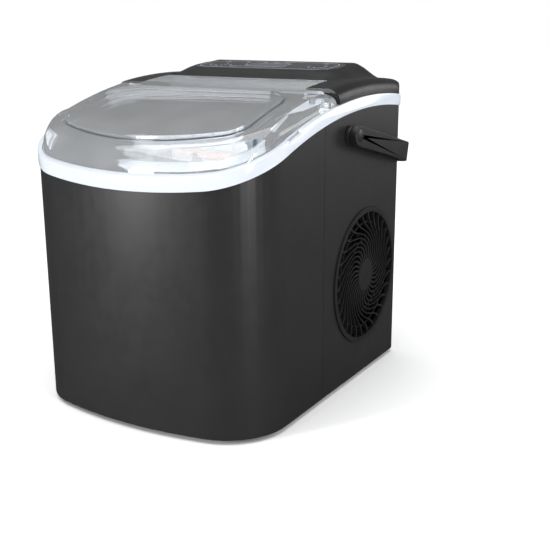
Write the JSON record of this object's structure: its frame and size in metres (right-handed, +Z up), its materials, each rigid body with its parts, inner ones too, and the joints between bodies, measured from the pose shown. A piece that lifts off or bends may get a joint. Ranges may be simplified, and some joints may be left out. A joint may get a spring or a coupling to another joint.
{
  "type": "countertop ice maker",
  "caption": "Countertop bullet-ice maker with a see-through curved lid, swinging handle, side fan grille, lift-out ice basket and the working parts inside.",
  "frame": {"origin": "on the floor under the middle of the overall box at rest", "axes": "+Z up, the bowed front faces -Y, the round fan grille faces +X"},
  "size_m": [0.2434, 0.2796, 0.2732],
  "materials": {
    "housing_black": "fine-grained injection-moulded ABS",
    "cover_black": "satin injection-moulded ABS",
    "trim_white": "polished white ABS",
    "sheet_grey": "printed polyester sheet",
    "display_glass": "smoked display lens",
    "circuit_board": "solder-masked laminate",
    "key_grey": "moulded key",
    "liner_grey": "light grey polypropylene",
    "foam": "expanded insulation foam",
    "sensor_clear": "clear sensor lens",
    "plated_metal": "nickel-plated copper",
    "steel": "zinc-plated steel",
    "copper": "drawn copper tube",
    "tray_white": "food-grade polypropylene",
    "motor_cream": "motor case",
    "hose_silicone": "silicone hose",
    "float_amber": "foamed float",
    "rubber_black": "moulded rubber",
    "machine_black": "black stoving enamel",
    "machine_plastic": "unpainted black plastic",
    "fin_aluminium": "thin fin stock",
    "lid_smoke": "smoke-tinted clear SAN",
    "basket_clear": "frosted clear polypropylene"
  },
  "bodies": {
    "cabinet": {"base_pan": "machine_plastic", "rubber_feet": "rubber_black", "front_housing": "housing_black", "rear_housing": "housing_black", "trim_band": "trim_white", "top_cover": "cover_black", "control_sheet": "sheet_grey", "display_window": "display_glass", "display_board": "circuit_board", "tub_liner": "liner_grey", "foam_insulation": "foam", "splash_guard": "liner_grey", "ice_level_sensors": "sensor_clear", "evaporator_plate": "steel", "evaporator_fingers": "plated_metal", "evaporator_coil": "copper", "tray_motor": "motor_cream", "pusher_rails": "steel", "water_pump": "motor_cream", "water_hose": "hose_silicone", "float_stem": "tray_white", "drain_spout": "liner_grey", "fan_grille": "cover_black", "intake_grille": "cover_black", "fan_shroud": "machine_plastic", "fan_motor": "machine_plastic", "condenser_fins": "fin_aluminium", "condenser_tube": "copper", "compressor_shell": "machine_black", "compressor_base": "machine_black", "compressor_grommets": "rubber_black", "terminal_box": "machine_plastic", "filter_drier": "copper", "hot_gas_valve": "steel", "copper_lines": "copper", "board_tray": "machine_plastic", "power_board": "circuit_board", "cord_gland": "rubber_black", "housing_screws": "steel", "lid_hinge_pins": "steel", "handle_bushes": "housing_black"},
    "lid": {"lid_frame": "lid_smoke", "lid_window": "lid_smoke"},
    "carry_handle": {"handle": "housing_black"},
    "tilting_tray": {"water_tray": "tray_white", "tray_shafts": "steel"},
    "pusher": {"ice_pusher": "tray_white"},
    "impeller": {"fan_impeller": "machine_plastic"},
    "basket": {"ice_basket": "basket_clear"},
    "bail": {"basket_bail": "basket_clear"},
    "scoop": {"ice_scoop": "tray_white"},
    "plug": {"drain_plug": "rubber_black"},
    "float": {"float_ring": "float_amber"},
    "power_button": {"power_key": "key_grey"},
    "size_button": {"size_key": "key_grey"},
    "timer_button": {"timer_key": "key_grey"}
  },
  "joints": [
    {"name": "lid_hinge", "type": "hinge", "parent": "cabinet", "child": "lid", "pos_m": [0, -0.00576, 0.24586], "axis": [-1, 0, 0], "range_deg": [0, 68]},
    {"name": "handle_swing", "type": "hinge", "parent": "cabinet", "child": "carry_handle", "pos_m": [0, 0.02224, 0.22], "axis": [1, 0, 0], "range_deg": [0, 104]},
    {"name": "tray_tilt", "type": "hinge", "parent": "cabinet", "child": "tilting_tray", "pos_m": [0, 0.02324, 0.18], "axis": [-1, 0, 0], "range_deg": [0, 55]},
    {"name": "pusher_slide", "type": "slide", "parent": "cabinet", "child": "pusher", "axis": [0, -1, 0], "range_m": [0, 0.038]},
    {"name": "fan_spin", "type": "hinge", "parent": "cabinet", "child": "impeller", "pos_m": [0.1, 0.05904, 0.0933], "axis": [1, 0, 0], "continuous": true},
    {"name": "basket_lift", "type": "slide", "parent": "cabinet", "child": "basket", "axis": [0, 0, 1], "range_m": [0, 0.02]},
    {"name": "bail_swing", "type": "hinge", "parent": "basket", "child": "bail", "pos_m": [0, -0.06736, 0.1643], "axis": [1, 0, 0], "range_deg": [0, 90]},
    {"name": "scoop_lift", "type": "slide", "parent": "basket", "child": "scoop", "axis": [0, 0, 1], "range_m": [0, 0.03]},
    {"name": "plug_pull", "type": "slide", "parent": "cabinet", "child": "plug", "axis": [-1, 0, 0], "range_m": [0, 0.014]},
    {"name": "float_rise", "type": "slide", "parent": "cabinet", "child": "float", "axis": [0, 0, 1], "range_m": [0, 0.0085]},
    {"name": "power_press", "type": "slide", "parent": "cabinet", "child": "power_button", "axis": [0, 0.0821, -0.9966], "range_m": [0, 0.0006], "stiffness_N_per_m": 400, "springref_m": -0.001},
    {"name": "size_press", "type": "slide", "parent": "cabinet", "child": "size_button", "axis": [0, 0.0821, -0.9966], "range_m": [0, 0.0006], "stiffness_N_per_m": 400, "springref_m": -0.001},
    {"name": "timer_press", "type": "slide", "parent": "cabinet", "child": "timer_button", "axis": [0, 0.0821, -0.9966], "range_m": [0, 0.0006], "stiffness_N_per_m": 400, "springref_m": -0.001}
  ],
  "couplings": [
    {"joint": "pusher_slide", "follows": "tray_tilt", "m_per_rad": 0.0395}
  ]
}
